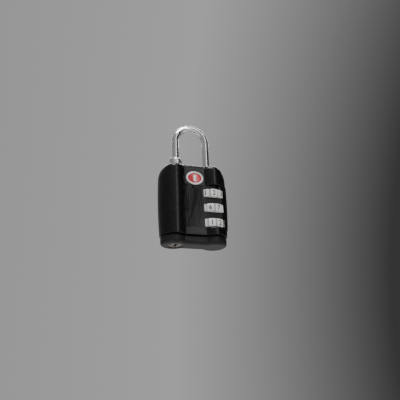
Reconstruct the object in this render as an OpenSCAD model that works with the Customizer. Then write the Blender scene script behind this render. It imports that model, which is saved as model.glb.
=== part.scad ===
// Three-dial travel padlock with a key override cylinder.
// Z is up, the origin is at the centre of the bottom face, and the dials face -Y.
// Every piece is drawn unlocked: the combination is set and the latch bolt is held back,
// so that the shackle is free to rise.

/* [Body] */
// Width over both lobes
body_w = 32.6; // [30:0.1:38]
// Height from the bottom face of the cap to the top of the shell
body_h = 38.6; // [37.5:0.1:46]
// Radius of the two upright lobes, half the body's thickness
lobe_r = 7; // [6.8:0.1:8.5]
// Distance of the flat panel in front of the centre plane
panel_y = 5.3; // [5.1:0.1:5.6]
// Corner radius of the flat dial zone
corner_r = 4; // [3:0.1:4.5]
// How far the rounded shoulder reaches in from the side
shoulder_in = 4.2; // [3:0.1:6]
// How far the rounded shoulder reaches down from the top
shoulder_down = 7; // [4:0.1:9]
// Rounding of the front and back top edges
top_edge_r = 2.2; // [0.8:0.1:2.4]
// Height of the lower lip, where the dial zone starts
zone_bottom = 7.7; // [7.3:0.1:7.8]
// How far below the top of the shell the dial zone ends
zone_drop = 10.2; // [9:0.1:11]
// Thickness of the face plate
plate_t = 0.8; // [0.6:0.05:0.9]

/* [Bottom cap] */
// Height of the visible cap
cap_h = 3.4; // [3:0.1:3.6]
// Groove between the cap and the shell
cap_gap = 0.7; // [0.5:0.1:1]
// How far the cap is set in from the shell
cap_inset = 1; // [0.5:0.1:1.4]
// Depth of the cap's neck inside the shell, from the cap's top
neck_h = 3.1; // [2.6:0.1:3.1]

/* [Shackle] */
// Diameter of the shackle rod
rod_d = 3.2; // [2.6:0.1:3.6]
// Distance between the centres of the two legs
leg_gap = 15; // [14.4:0.1:15.2]
// Height of the top of the shackle above the shell
shackle_rise = 23.4; // [19:0.1:45]
// How deep the long leg reaches below the top of the shell
heel_depth = 15.4; // [15.1:0.1:16]
// How deep the short leg reaches below the top of the shell
toe_depth = 7.6; // [7.1:0.1:7.7]
// How far the shackle lifts when it is open
lift = 10; // [8:0.1:10]
// Outer diameter of the collar round the long leg
collar_d = 5.9; // [5.2:0.1:6.4]
// Height of the collar above the shell
collar_h = 4.7; // [3:0.1:6]

/* [Dials] */
// Radius of a dial over its digit faces
dial_r = 6.5; // [6.2:0.05:6.5]
// Height of a dial
dial_h = 3.7; // [3.2:0.05:3.8]
// Distance from dial to dial
dial_pitch = 7.2; // [6.8:0.05:7.3]
// Height of the middle of the lowest dial
dial_first_z = 9.9; // [9.8:0.1:10.3]
// Distance of the dial axis to the right of the centre
dial_x = 8.6; // [8.5:0.05:8.7]
// Distance of the dial axis in front of the centre plane
dial_y = 0.6; // [0.4:0.05:0.8]
// Width of a dial window
window_w = 10.5; // [9.6:0.1:10.8]
// How far each dial is turned from the one digit it shows straight ahead, from the top down
dial_turns = [0, -18, -14]; // [-180:1:180]

/* [Lock work] */
// Diameter of the key cylinder
cylinder_d = 6.9; // [6:0.1:7.2]
// Diameter of the key plug
plug_d = 5.2; // [4.4:0.1:5.4]
// Travel of the latch bolt, and of the spindle that blocks it
bolt_travel = 1.3; // [1.2:0.05:1.4]
// Diameter of the spindle through the dials
spindle_d = 2.8; // [2.4:0.1:3]

/* [Badge] */
// Width of the badge
badge_w = 8.2; // [6:0.1:8.3]
// Height of the badge
badge_h = 6.6; // [4:0.1:7]
// Distance from the top of the shell to the middle of the badge
badge_drop = 7.1; // [6:0.1:8]

/* [Clearances] */
// Gap between pieces that are fitted together and don't move
fit = 0.05; // [0.02:0.01:0.1]
// Radial gap round pieces that turn or slide in a bore
run = 0.08; // [0.05:0.01:0.1]
// Gap beside pieces that move past each other freely
free = 0.2; // [0.15:0.01:0.25]

/* [Hidden] */

$fn = 64;
tiny = 0.01;

// Body
lobe_x = body_w / 2 - lobe_r;
side_x = body_w / 2;
shell_z = cap_h + cap_gap;
neck_top = cap_h + neck_h;
zone_top = body_h - zone_drop;
badge_sunk = 0.35;
badge_proud = 0.4;
plate_left = -lobe_x + sqrt(lobe_r * lobe_r - panel_y * panel_y) + 0.1;

// Dials
dial_zs = [for (i = [0:2]) dial_first_z + (2 - i) * dial_pitch];
digits = 10;
digit_half = 12.5;
ridge_depth = 0.3;
ridge_rise = 0.15;
pocket_r = dial_r + free;
window_h = dial_h + 2 * free;
plate_inner_y = panel_y - plate_t;
clutch_r = 4.2;
clutch_bore_r = spindle_d / 2 + run;
clutch_room_r = 3.2;
clutch_lug_w = 1.2;
clutch_lug_r = 4.9;
gate_flange = 0.5;
fin_r = 2.9;
fin_w = 1.1;
fin_t = 0.6;
gap_fin = (bolt_travel - gate_flange - fin_t) / 2;

// Shackle
leg_x = leg_gap / 2;
rod_r = rod_d / 2;
heel_z = body_h - heel_depth;
toe_z = body_h - toe_depth;
arch_z = body_h + shackle_rise - rod_r - leg_x;
lift_stop_gap = 0.35;
groove_z = heel_z + 0.8;
groove_h = 0.75;
groove_r = rod_r - 0.5;
clip_t = 0.65;
clip_r = rod_r + 0.9;
heel_room_r = clip_r + 0.25;
heel_room_top = groove_z + groove_h + lift + lift_stop_gap;
spring_room_h = 3.5;
shelf_top = heel_z - spring_room_h;
shelf_t = 1;
notch_z = toe_z + 1.4;
notch_h = 2.6;
notch_depth = 1.3;
heel_end = 0.5;
collar_seat_h = 1.2;
collar_lip = 0.5;

// Key cylinder
barrel_r = cylinder_d / 2;
barrel_in = 0.7;
barrel_x = barrel_in - lobe_x;
barrel_face_z = 0.25;
barrel_top = barrel_face_z + 13.35;
barrel_flange_r = barrel_r + 0.75;
barrel_flange_h = 1;
plug_r = plug_d / 2;
plug_neck_r = 1.7;
tang_r = 1.2;
cam_r = barrel_r - 0.35;
cam_edge = 0.1;
cam_z = barrel_top + 1.45;
cam_t = 1.4;
cam_pin_r = 0.6;
cam_pin_x = cam_r - cam_pin_r - cam_edge;
foot_z = cam_z + cam_t + 0.35;
foot_t = 1.2;
cam_pin_top = foot_z + foot_t - free;
tang_flat = 0.75 * tang_r;
clip_seat_z = barrel_top + 0.35;
clip_seat_h = 0.6;
clip_seat_depth = 0.35;
wafer_count = 4;
wafer_first = 3;
wafer_pitch = 2.2;
wafer_zs = [for (i = [0:wafer_count - 1]) barrel_face_z + wafer_first + wafer_pitch * i];
wafer_t = 0.7;
wafer_w = 3.2;
key_slot_w = 1;
key_slot_h = 11.5;
barrel_room_top = shelf_top - shelf_t;

// Spindle and latch bolt
spindle_r = spindle_d / 2;
spindle_foot_z = 6;
spring_seat_z = 2.4;
seat_bore_r = spindle_r + 0.5;
arm_z = dial_zs[0] + window_h / 2 + 0.85;
arm_t = 1;
arm_front = 1.2;
arm_back = 1;
arm_head_r = 1.9;
ramp_gap = 0.05;
tooth_h = 2.4;
ramp_sum = arm_z + arm_t + tooth_h;
tooth_left = -1.5;
block_z = ramp_sum + 0.1;
block_top = notch_z + notch_h + 0.1;
block_right = leg_x - rod_r - bolt_travel - free;
tail_back = arm_back + 1.8;
tail_front = arm_back + 0.4;
tail_left = -1.6;
tail_right = 0.2;
nose_x = leg_x - rod_r - free;
nose_h = notch_h - 0.7;
nose_half = 1.2;
nose_low = notch_z + 0.35;
room_gap = 0.3;
room_gap_z = 0.25;
room_wall = 0.2;
bolt_room_left = max(plate_left + 0.15, -leg_x + heel_room_r + room_wall);
bolt_room_top = block_top + room_gap;
bolt_room_front = -dial_y - arm_front - room_gap;
bolt_room_back = tail_back + room_gap;
bolt_spring_r = 1.1;
finger_w = 1;
finger_gap = 0.1;
finger_reach = 0.5;
finger_left = barrel_x - cam_pin_r - finger_gap - finger_w;
finger_front = -cam_pin_x - finger_reach;
foot_front = 0.9;

// Bottom cap and its pins
cap_edge_r = 1.4;
neck_wall = 1.6;
neck_half = plate_inner_y - 1;
pin_r = 0.75;
pin_xs = [-2.4, 2.2];
pin_z = shell_z + (neck_top - shell_z) / 2;
pin_in = 0.8;

// Outlines

function arc(cx, cy, rx, ry, from, to, steps) =
    [for (i = [0:steps]) let (a = from + (to - from) * i / steps)
        [cx + rx * cos(a), cy + ry * sin(a)]];

// Plan of the flat front of the dial zone, with its rounded corner
module zone_outline() {
    corner_x = side_x - corner_r;
    corner_y = corner_r - panel_y;
    translate([0, -panel_y]) square([corner_x, panel_y]);
    translate([corner_x, corner_y]) circle(r = corner_r);
    translate([corner_x, corner_y]) square([corner_r, -corner_y]);
}

// Front view of the shell, with its rounded shoulders
module front_outline() {
    top_x = side_x - shoulder_in;
    shoulder_z = body_h - shoulder_down;
    right = arc(top_x, shoulder_z, shoulder_in, shoulder_down, 0, 90, 14);
    left = [for (i = [len(right) - 1:-1:0]) [-right[i][0], right[i][1]]];
    polygon(concat([[-side_x, shell_z], [side_x, shell_z]], right, left));
}

// Section of an upright block from low to high, half wide, with rounded edges at the top or the bottom
module block_section(half, low, high, edge, top) {
    right = top ? arc(half - edge, high - edge, edge, edge, 0, 90, 8)
        : arc(half - edge, low + edge, edge, edge, 0, -90, 8);
    left = [for (i = [len(right) - 1:-1:0]) [-right[i][0], right[i][1]]];
    flat_z = top ? low : high;
    polygon(concat([[-half, flat_z], [half, flat_z]], right, left));
}

// Two lobes joined by a thinner middle, with their edges rounded at the top or the bottom
module lobed_block(inset, low, high, edge, top) {
    for (side = [-1, 1]) translate([side * lobe_x, 0, 0]) rotate_extrude() intersection() {
        block_section(lobe_r - inset, low, high, edge, top);
        square([2 * lobe_r, 2 * body_h]);
    }
    along_x(2 * lobe_x) block_section(panel_y - inset, low, high, edge, top);
}

module along_y(depth) {
    rotate([90, 0, 0]) linear_extrude(depth, center = true) children();
}

module along_x(length) {
    rotate([90, 0, 90]) linear_extrude(length, center = true) children();
}

module rod_y(r, from, to) {
    translate([0, from, 0]) rotate([-90, 0, 0]) cylinder(r = r, h = to - from);
}

// Coil spring swept along its wire, with closed ends laid flat by the pitch running out
function coil_point(r, height, turns, wire, t) =
    let (z = wire / 2 + (height - wire) * min(1, max(0, (t * turns - 0.5) / (turns - 1))))
    [r * cos(360 * turns * t), r * sin(360 * turns * t), z];

module coil(r, height, turns, wire, per_turn = 12, sides = 8) {
    rings = ceil(turns * per_turn);
    points = [for (i = [0:rings], j = [0:sides - 1])
        let (
            t = i / rings,
            centre = coil_point(r, height, turns, wire, t),
            turn = 360 * turns * t,
            a = 360 * j / sides,
            out = wire / 2 * cos(a)
        )
        [centre[0] + out * cos(turn), centre[1] + out * sin(turn), centre[2] + wire / 2 * sin(a)]];
    walls = [for (i = [0:rings - 1], j = [0:sides - 1])
        let (k = (j + 1) % sides)
        [i * sides + j, i * sides + k, (i + 1) * sides + k, (i + 1) * sides + j]];
    start = [for (j = [sides - 1:-1:0]) j];
    end = [for (j = [0:sides - 1]) rings * sides + j];
    polyhedron(points, concat([start], walls, [end]), convexity = 10);
}

// Shell and covers

// The whole outside of the shell, before anything is cut out of it
module shell_outside() {
    zone_h = zone_top - zone_bottom;
    difference() {
        intersection() {
            union() {
                lobed_block(0, shell_z, body_h, top_edge_r, true);
                translate([0, 0, zone_bottom]) linear_extrude(zone_h) zone_outline();
            }
            along_y(4 * lobe_r) front_outline();
        }
        translate([0, 0, zone_bottom]) linear_extrude(zone_h) difference() {
            translate([tiny, -lobe_r - 1]) square([side_x, lobe_r + 1 + corner_r - panel_y]);
            zone_outline();
        }
    }
}

// Plan of the face plate beside the dials: flat in front, and round the corner to the side.
// The proud part is what a cut needs beyond the plate's own outside.
module plate_outline(grow, proud) {
    corner_x = side_x - corner_r;
    corner_y = corner_r - panel_y;
    translate([plate_left - grow, -panel_y - proud])
        square([corner_x - plate_left + grow, plate_t + grow + proud]);
    intersection() {
        translate([corner_x, corner_y]) difference() {
            circle(r = corner_r + proud);
            circle(r = corner_r - plate_t - grow);
        }
        translate([corner_x - 0.1, corner_y - corner_r - proud])
            square([corner_r + proud + 0.2, corner_r + proud + grow]);
    }
}

// Room for the face plate: a strip up the middle, and the dial zone beside it
module plate_room() {
    translate([plate_left - fit, -panel_y - 1, shell_z - 1])
        cube([-2 * plate_left + 2 * fit, plate_t + fit + 1, body_h]);
    translate([0, 0, zone_bottom - fit])
        linear_extrude(zone_top - zone_bottom + 2 * fit) plate_outline(fit, 1);
}

module windows() {
    for (z = dial_zs) translate([dial_x - window_w / 2, -lobe_r - 1, z - window_h / 2])
        cube([window_w, lobe_r - 1, window_h]);
}

module dial_pockets() {
    for (z = dial_zs) translate([dial_x, -dial_y, z - window_h / 2]) {
        cylinder(r = pocket_r, h = window_h);
        translate([-pocket_r, -lobe_r, 0]) cube([2 * pocket_r, lobe_r, window_h]);
    }
}

module spindle_tunnel() {
    translate([dial_x, -dial_y, shell_z - 1]) {
        cylinder(r = spindle_r + run, h = arm_z - shell_z + 1);
        translate([0, -fin_w / 2 - run, 0]) cube([fin_r + run, fin_w + 2 * run, arm_z - shell_z]);
    }
}

// Room for the spindle's arm and its ramp, under the latch bolt
module arm_room() {
    room_h = arm_t + bolt_travel + 2 * room_gap_z;
    translate([tooth_left - room_gap, -dial_y - arm_front - room_gap, arm_z - room_gap_z])
        cube([dial_x + arm_head_r + free + room_gap - tooth_left,
            arm_front + arm_back + 2 * room_gap + dial_y, room_h]);
    translate([dial_x, -dial_y, arm_z - room_gap_z]) cylinder(r = arm_head_r + free, h = room_h);
}

// Room for the latch bolt, open to the front under the face plate
module bolt_room() {
    room_low = arm_z - room_gap_z;
    room_h = bolt_room_top - room_low;
    translate([bolt_room_left, bolt_room_front, room_low])
        cube([leg_x - rod_r - bolt_room_left + 2 * free, bolt_room_back - bolt_room_front, room_h]);
    translate([bolt_room_left, -plate_inner_y - 1, room_low])
        cube([free - bolt_room_left, bolt_room_back + plate_inner_y + 1, room_h]);
    translate([0, -dial_y - nose_half - free, nose_low - free])
        cube([leg_x, 2 * (nose_half + free), nose_h + 2 * free]);
}

// Shaft for the bolt's tail, between the key cylinder and the dials
module tail_room() {
    translate([tail_left - room_gap, tail_front - room_gap, foot_z - room_gap])
        cube([tail_right - tail_left + bolt_travel + 2 * room_gap,
            tail_back - tail_front + 2 * room_gap, arm_z - foot_z + 1]);
    translate([barrel_x, foot_front - room_gap, foot_z - room_gap])
        cube([tail_right - barrel_x + bolt_travel + room_gap, tail_back + 2 * room_gap - foot_front,
            foot_t + 2 * room_gap]);
    translate([finger_left - run, finger_front - run, foot_z - room_gap])
        cube([barrel_x - finger_left + run, tail_back - finger_front + run, foot_t + 2 * room_gap]);
}

module neck_outline(inset) {
    for (side = [-1, 1]) translate([side * lobe_x, 0]) circle(r = lobe_r - neck_wall - inset);
    translate([-lobe_x, inset - neck_half]) square([2 * lobe_x, 2 * (neck_half - inset)]);
}

module shell() {
    color("#26282a") difference() {
        shell_outside();
        plate_room();
        dial_pockets();
        spindle_tunnel();
        arm_room();
        bolt_room();
        tail_room();
        translate([0, 0, shell_z - 1]) linear_extrude(neck_top + free - shell_z + 1) neck_outline(0);
        translate([barrel_x, 0, shell_z]) cylinder(r = barrel_r + fit, h = barrel_room_top - shell_z);
        translate([barrel_x, 0, neck_top])
            cylinder(r = barrel_flange_r + fit, h = barrel_flange_h + free + fit);
        translate([-leg_x, 0, shelf_top]) cylinder(r = heel_room_r, h = heel_room_top - shelf_top);
        translate([-leg_x, 0, heel_room_top]) cylinder(r = rod_r + run, h = body_h);
        translate([-leg_x, 0, body_h - collar_seat_h])
            cylinder(r = collar_d / 2 - collar_lip + fit, h = 2 * collar_seat_h);
        translate([leg_x, 0, toe_z - 0.3]) cylinder(r = rod_r + run, h = body_h);
        translate([-leg_x, -clip_r, groove_z - 0.3])
            cube([leg_x + bolt_room_left + 0.5, 2 * clip_r, 2.2]);
        detent_leaf(2 * fit);
        badge_seat(fit);
        for (x = pin_xs) translate([x, 0, pin_z]) rod_y(pin_r + fit / 2, 0, lobe_r);
    }
}

module face_plate() {
    color("#35383a") difference() {
        union() {
            intersection() {
                translate([plate_left, -panel_y - 1, shell_z])
                    cube([-2 * plate_left, plate_t + 1, body_h - shell_z]);
                along_x(4 * side_x) block_section(panel_y, shell_z, body_h, top_edge_r, true);
            }
            translate([0, 0, zone_bottom]) linear_extrude(zone_top - zone_bottom) plate_outline(0, 0);
        }
        windows();
        for (z = dial_zs) translate([dial_x, -dial_y, z - window_h / 2])
            cylinder(r = pocket_r, h = window_h);
        badge_seat(fit);
    }
}

// Oval seat of the badge, let into the panel
module badge_seat(grow) {
    translate([0, badge_sunk - panel_y + grow, body_h - badge_drop]) rotate([90, 0, 0])
        linear_extrude(2) scale([1, badge_h / badge_w]) circle(r = badge_w / 2 + grow);
}

module badge() {
    color("#c8283a") translate([0, badge_sunk - panel_y, body_h - badge_drop]) rotate([90, 0, 0])
        linear_extrude(badge_sunk + badge_proud) scale([1, badge_h / badge_w]) circle(r = badge_w / 2);
}

module bottom_cap() {
    color("#1f2122") difference() {
        union() {
            lobed_block(cap_inset, 0, cap_h, cap_edge_r, false);
            translate([0, 0, cap_h - 1]) linear_extrude(neck_h + 1) neck_outline(2 * fit);
        }
        translate([barrel_x, 0, -1]) cylinder(r = barrel_r + fit, h = neck_top + 2);
        translate([dial_x, -dial_y, spring_seat_z]) cylinder(r = seat_bore_r, h = neck_top);
        for (x = pin_xs) translate([x, 0, pin_z]) rod_y(pin_r, pin_in, lobe_r);
    }
}

module cap_pins() {
    color("silver") for (x = pin_xs) translate([x, 0, pin_z]) rod_y(pin_r, pin_in, panel_y - 0.1);
}

// Shackle and what holds it

module shackle() {
    color("#e6e8ea") difference() {
        union() {
            translate([-leg_x, 0, heel_z + heel_end]) cylinder(r = rod_r, h = arch_z - heel_z - heel_end);
            translate([-leg_x, 0, heel_z]) cylinder(r1 = rod_r - heel_end, r2 = rod_r, h = heel_end);
            translate([leg_x, 0, toe_z + heel_end]) cylinder(r = rod_r, h = arch_z - toe_z - heel_end);
            translate([leg_x, 0, toe_z]) cylinder(r1 = rod_r - heel_end, r2 = rod_r, h = heel_end);
            translate([0, 0, arch_z]) rotate([90, 0, 0])
                rotate_extrude(angle = 180) translate([leg_x, 0]) circle(r = rod_r);
        }
        translate([-leg_x, 0, groove_z]) difference() {
            cylinder(r = rod_r + 1, h = groove_h);
            cylinder(r = groove_r, h = groove_h);
        }
        translate([leg_x - rod_r - 1, -rod_d, notch_z]) cube([1 + notch_depth, 2 * rod_d, notch_h]);
    }
}

module shackle_collar() {
    r = collar_d / 2;
    bore = rod_r + run;
    sweep = 80;
    // The shoulder is rounded as far as the wall beside the rod allows
    shoulder = min(1.3, (r - bore - fit) / (1 - cos(sweep)));
    low = body_h - collar_seat_h;
    high = body_h + collar_h;
    profile = concat(
        [[bore, low], [r - collar_lip, low], [r - collar_lip, body_h], [r, body_h]],
        arc(r - shoulder, high - shoulder, shoulder, shoulder, 0, sweep, 8),
        [[bore, high]]);
    color("#d0d2d4") translate([-leg_x, 0, 0]) rotate_extrude() polygon(profile);
}

module heel_clip() {
    mouth = 1.6;
    color("#9a9c9e") translate([-leg_x, 0, groove_z + (groove_h - clip_t) / 2]) difference() {
        cylinder(r = clip_r, h = clip_t);
        translate([0, 0, -1]) cylinder(r = groove_r + fit, h = clip_t + 2);
        translate([-clip_r - 1, -mouth / 2, -1]) cube([clip_r + 1, mouth, clip_t + 2]);
    }
}

module shackle_spring() {
    wire = 0.4;
    color("#b0b2b4") translate([-leg_x, 0, shelf_top + fit])
        coil(rod_r - wire / 2, heel_z - shelf_top - 2 * fit, 5, wire);
}

// Dials

// Ten digit faces round the rim, with two small grip ridges between each pair
function dial_rim(r) = [for (k = [0:digits - 1]) each
    let (a = 360 / digits * k, low = r - ridge_depth, step = (360 / digits - 2 * digit_half) / 6)
    concat(
        [for (b = [-digit_half, 0, digit_half]) [r * cos(a + b), r * sin(a + b)]],
        [for (m = [1:5]) let (b = digit_half + m * step, q = m % 2 == 1 ? low : low + ridge_rise)
            [q * cos(a + b), q * sin(a + b)]])];

module dial(row) {
    color("#f2f2f0") translate([dial_x, -dial_y, dial_zs[row] - dial_h / 2]) difference() {
        rotate(dial_turns[row] - 90) linear_extrude(dial_h) polygon(dial_rim(dial_r));
        translate([0, 0, -1]) cylinder(r = clutch_r + fit, h = dial_h + 2);
        translate([0, -clutch_lug_w / 2 - fit, -1])
            cube([clutch_lug_r + fit, clutch_lug_w + 2 * fit, dial_h + 2]);
    }
}

module clutch(z) {
    room_h = dial_h / 2 - gate_flange / 2;
    color("#c9a24a") translate([dial_x, -dial_y, z]) difference() {
        translate([0, 0, -dial_h / 2]) union() {
            cylinder(r = clutch_r, h = dial_h);
            translate([0, -clutch_lug_w / 2, 0]) cube([clutch_lug_r, clutch_lug_w, dial_h]);
        }
        translate([0, 0, -dial_h]) cylinder(r = clutch_bore_r, h = 2 * dial_h);
        translate([0, 0, gate_flange / 2]) cylinder(r = clutch_room_r, h = room_h + 1);
        translate([0, 0, -dial_h / 2 - 1]) cylinder(r = clutch_room_r, h = room_h + 1);
        translate([0, -fin_w / 2 - run, -dial_h])
            cube([fin_r + run, fin_w + 2 * run, 2 * dial_h]);
    }
}

module dial_top() { dial(0); }
module dial_middle() { dial(1); }
module dial_bottom() { dial(2); }
module clutch_top() { clutch(dial_zs[0]); }
module clutch_middle() { clutch(dial_zs[1]); }
module clutch_bottom() { clutch(dial_zs[2]); }

// Leaf spring with one finger for each dial, beside the dials under the face plate
module detent_leaf(grow) {
    leaf_t = 0.3;
    tip_r = dial_r + 0.06;
    leaf_x = dial_x - pocket_r - 1;
    low = dial_zs[2] - 2.6;
    high = dial_zs[0] + 1.9;
    translate([leaf_x - leaf_t / 2 - grow, -dial_y - 1.6 - grow, low - grow])
        cube([leaf_t + 2 * grow, 3.2 + 2 * grow - dial_y, high - low + 2 * grow]);
    for (z = dial_zs) translate([dial_x, -dial_y, z - 0.8 - grow]) difference() {
        translate([leaf_x - dial_x, -0.6 - grow, 0])
            cube([dial_x - leaf_x - tip_r + 0.3, 1.2 + 2 * grow, 1.6 + 2 * grow]);
        translate([0, 0, -1]) cylinder(r = tip_r, h = 4);
    }
}

module detent_spring() {
    color("#b8a878") detent_leaf(0);
}

// Spindle and latch

module spindle() {
    color("#b8bcc0") translate([dial_x, -dial_y, 0]) {
        translate([0, 0, spindle_foot_z])
            cylinder(r = spindle_r, h = arm_z + arm_t - spindle_foot_z);
        for (z = dial_zs) translate([0, -fin_w / 2, z - gate_flange / 2 - gap_fin - fin_t])
            cube([fin_r, fin_w, fin_t]);
        translate([0, 0, arm_z]) cylinder(r = arm_head_r, h = arm_t);
    }
    color("#b8bcc0") {
        translate([tooth_left, -dial_y - arm_front, arm_z])
            cube([dial_x - tooth_left, arm_front + arm_back, arm_t]);
        translate([0, -dial_y - arm_front, 0]) rotate([90, 0, 180]) mirror([1, 0, 0])
            linear_extrude(arm_front + arm_back) polygon([
                [tooth_left, arm_z + arm_t / 2], [tooth_h, arm_z + arm_t / 2],
                [tooth_h, arm_z + arm_t], [0, ramp_sum], [tooth_left, ramp_sum]]);
    }
}

module spindle_spring() {
    wire = 0.3;
    color("#b0b2b4") translate([dial_x, -dial_y, spring_seat_z + fit])
        coil(spindle_r - wire / 2, spindle_foot_z - spring_seat_z - 2 * fit, 6, wire);
}

module latch_bolt() {
    ramp = ramp_sum + ramp_gap * sqrt(2);
    foot_low = block_z - 1;
    bridge_h = 1.6;
    color("#a8acb0") {
        // Block over the spindle's ramp
        translate([0, arm_back - dial_y, 0]) rotate([90, 0, 0])
            linear_extrude(arm_front + arm_back) polygon([
                [ramp - foot_low, foot_low], [block_right, foot_low], [block_right, block_top],
                [ramp - block_z, block_top], [ramp - block_z, block_z]]);
        // Nose that enters the notch of the short leg, sloped above so that the leg can push it back
        translate([0, nose_half - dial_y, 0]) rotate([90, 0, 0])
            linear_extrude(2 * nose_half) polygon([
                [block_right - 0.5, nose_low], [nose_x, nose_low], [nose_x, nose_low + nose_h * 0.4],
                [nose_x - nose_h * 0.6, nose_low + nose_h], [block_right - 0.5, nose_low + nose_h]]);
        // Bridge to the tail, which runs down behind the spindle's arm
        translate([0.5, arm_back - dial_y - 0.5, block_z + 0.2])
            cube([block_right - 1, tail_front - arm_back + dial_y + 1, bridge_h - 0.4]);
        translate([0, tail_back, 0]) rotate([90, 0, 0])
            linear_extrude(tail_back - tail_front) polygon([
                [tail_left, foot_z + 0.1], [tail_right, foot_z + 0.1], [tail_right, block_z],
                [block_right, block_z], [block_right, block_z + bridge_h],
                [tail_left, block_z + bridge_h]]);
        // Foot that reaches over the key cylinder, with the finger that the cam pushes
        translate([0, 0, foot_z]) linear_extrude(foot_t) polygon([
            [finger_left, finger_front], [finger_left + finger_w, finger_front],
            [finger_left + finger_w, foot_front], [tail_right + 0.1, foot_front],
            [tail_right + 0.1, tail_back - 0.1], [finger_left, tail_back - 0.1]]);
    }
}

module bolt_spring() {
    left = bolt_room_left + fit;
    right = -fit;
    wire = 0.25;
    color("#b0b2b4") translate([left, -dial_y / 2, block_top - bolt_spring_r - 0.2]) rotate([0, 90, 0])
        coil(bolt_spring_r - wire / 2, right - left, 6, wire);
}

// Key cylinder

module cylinder_barrel() {
    color("#8c8a86") translate([barrel_x, 0, 0]) difference() {
        union() {
            translate([0, 0, barrel_face_z]) cylinder(r = barrel_r, h = barrel_top - barrel_face_z);
            translate([0, 0, neck_top + fit]) cylinder(r = barrel_flange_r, h = barrel_flange_h);
        }
        translate([0, 0, -1]) cylinder(r = plug_r + run, h = barrel_top + 2);
        for (side = [-1, 1]) translate([-0.6, side > 0 ? plug_r - 0.4 : -plug_r - 0.4, barrel_face_z + 2])
            cube([1.2, 0.8, barrel_top - barrel_face_z - 3]);
    }
}

module key_plug() {
    color("#a39c8c") translate([barrel_x, 0, 0]) difference() {
        union() {
            translate([0, 0, barrel_face_z]) cylinder(r = plug_r, h = barrel_top - barrel_face_z + 0.05);
            translate([0, 0, barrel_top]) cylinder(r = plug_neck_r, h = cam_z - barrel_top);
            translate([0, 0, cam_z - tiny]) intersection() {
                cylinder(r = tang_r, h = cam_t);
                translate([-tang_r, -tang_r, 0]) cube([2 * tang_r, tang_r + tang_flat, cam_t]);
            }
        }
        translate([-key_slot_w / 2, -plug_r + 0.6, barrel_face_z - 1])
            cube([key_slot_w, 2 * plug_r - 1.3, key_slot_h]);
        for (z = wafer_zs) translate([-wafer_w / 2 - fit, -plug_r, z - fit])
            cube([wafer_w + 2 * fit, 2 * plug_r, wafer_t + 2 * fit]);
        translate([0, 0, clip_seat_z]) difference() {
            cylinder(r = plug_neck_r + 1, h = clip_seat_h);
            cylinder(r = plug_neck_r - clip_seat_depth, h = clip_seat_h);
        }
    }
}

// Four sprung wafers, each a window plate that the key would lift
module wafers() {
    color("#c9a24a") translate([barrel_x, 0, 0]) for (z = wafer_zs) translate([0, 0, z]) difference() {
        intersection() {
            translate([-wafer_w / 2, -plug_r, 0]) cube([wafer_w, 2 * plug_r, wafer_t]);
            cylinder(r = plug_r - fit, h = wafer_t);
        }
        translate([-key_slot_w / 2 - 0.2, -1.2, -1]) cube([key_slot_w + 0.4, 2.4, 3]);
    }
}

module cam() {
    color("#9a9c9e") translate([barrel_x, 0, 0]) {
        translate([0, 0, cam_z]) difference() {
            cylinder(r = cam_r, h = cam_t);
            translate([0, 0, -1]) intersection() {
                cylinder(r = tang_r + fit, h = cam_t + 2);
                translate([-tang_r - 1, -tang_r - 1, 0])
                    cube([2 * tang_r + 2, tang_r + tang_flat + 1 + fit, cam_t + 2]);
            }
        }
        translate([cam_pin_x, 0, cam_z + cam_t - tiny])
            cylinder(r = cam_pin_r, h = cam_pin_top - cam_z - cam_t);
    }
}

module plug_clip() {
    mouth = 2.2;
    plate = clip_seat_h - 2 * fit;
    color("#9a9c9e") translate([barrel_x, 0, clip_seat_z + fit]) difference() {
        cylinder(r = plug_neck_r + 1.1, h = plate);
        translate([0, 0, -1]) cylinder(r = plug_neck_r - clip_seat_depth + fit, h = 3);
        translate([-4, -mouth / 2, -1]) cube([4, mouth, 3]);
    }
}

shell();
face_plate();
badge();
bottom_cap();
cap_pins();
shackle();
shackle_collar();
heel_clip();
shackle_spring();
dial_top();
dial_middle();
dial_bottom();
clutch_top();
clutch_middle();
clutch_bottom();
detent_spring();
spindle();
spindle_spring();
latch_bolt();
bolt_spring();
cylinder_barrel();
key_plug();
wafers();
cam();
plug_clip();
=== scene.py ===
"""Looks of a three-dial travel padlock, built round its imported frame.

Shapes are modelled in millimetres and placed in metres, in the frame's own axes: Z up along the
shackle's legs, the dials facing -Y.
"""

import math

import bmesh
import bpy
from bpy.props import FloatProperty, FloatVectorProperty, IntProperty, PointerProperty
from mathutils import Euler, Matrix, Vector


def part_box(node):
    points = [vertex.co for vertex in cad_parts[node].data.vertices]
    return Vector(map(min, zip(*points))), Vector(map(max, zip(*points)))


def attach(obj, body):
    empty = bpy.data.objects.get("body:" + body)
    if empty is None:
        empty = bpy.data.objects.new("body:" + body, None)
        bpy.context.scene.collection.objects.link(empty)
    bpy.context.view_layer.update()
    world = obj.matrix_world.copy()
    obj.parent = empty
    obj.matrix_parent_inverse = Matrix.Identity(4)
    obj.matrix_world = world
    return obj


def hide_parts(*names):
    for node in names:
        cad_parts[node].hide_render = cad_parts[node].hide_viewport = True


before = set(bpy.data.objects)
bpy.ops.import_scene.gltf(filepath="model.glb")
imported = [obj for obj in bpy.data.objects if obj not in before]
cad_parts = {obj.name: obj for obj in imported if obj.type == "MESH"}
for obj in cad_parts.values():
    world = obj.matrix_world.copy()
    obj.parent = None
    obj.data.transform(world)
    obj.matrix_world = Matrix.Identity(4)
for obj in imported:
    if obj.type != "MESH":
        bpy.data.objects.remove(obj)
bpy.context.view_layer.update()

bl_info = {
    "name": "Travel Padlock",
    "version": (1, 0, 0),
    "blender": (4, 5, 0),
    "location": "View3D > Sidebar > Padlock",
    "description": "Builds the visible pieces and finishes of a three-dial travel padlock",
    "category": "Add Mesh",
}

MM = 0.001
DIGITS = 10
FLAT_AREA = 1.5
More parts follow.
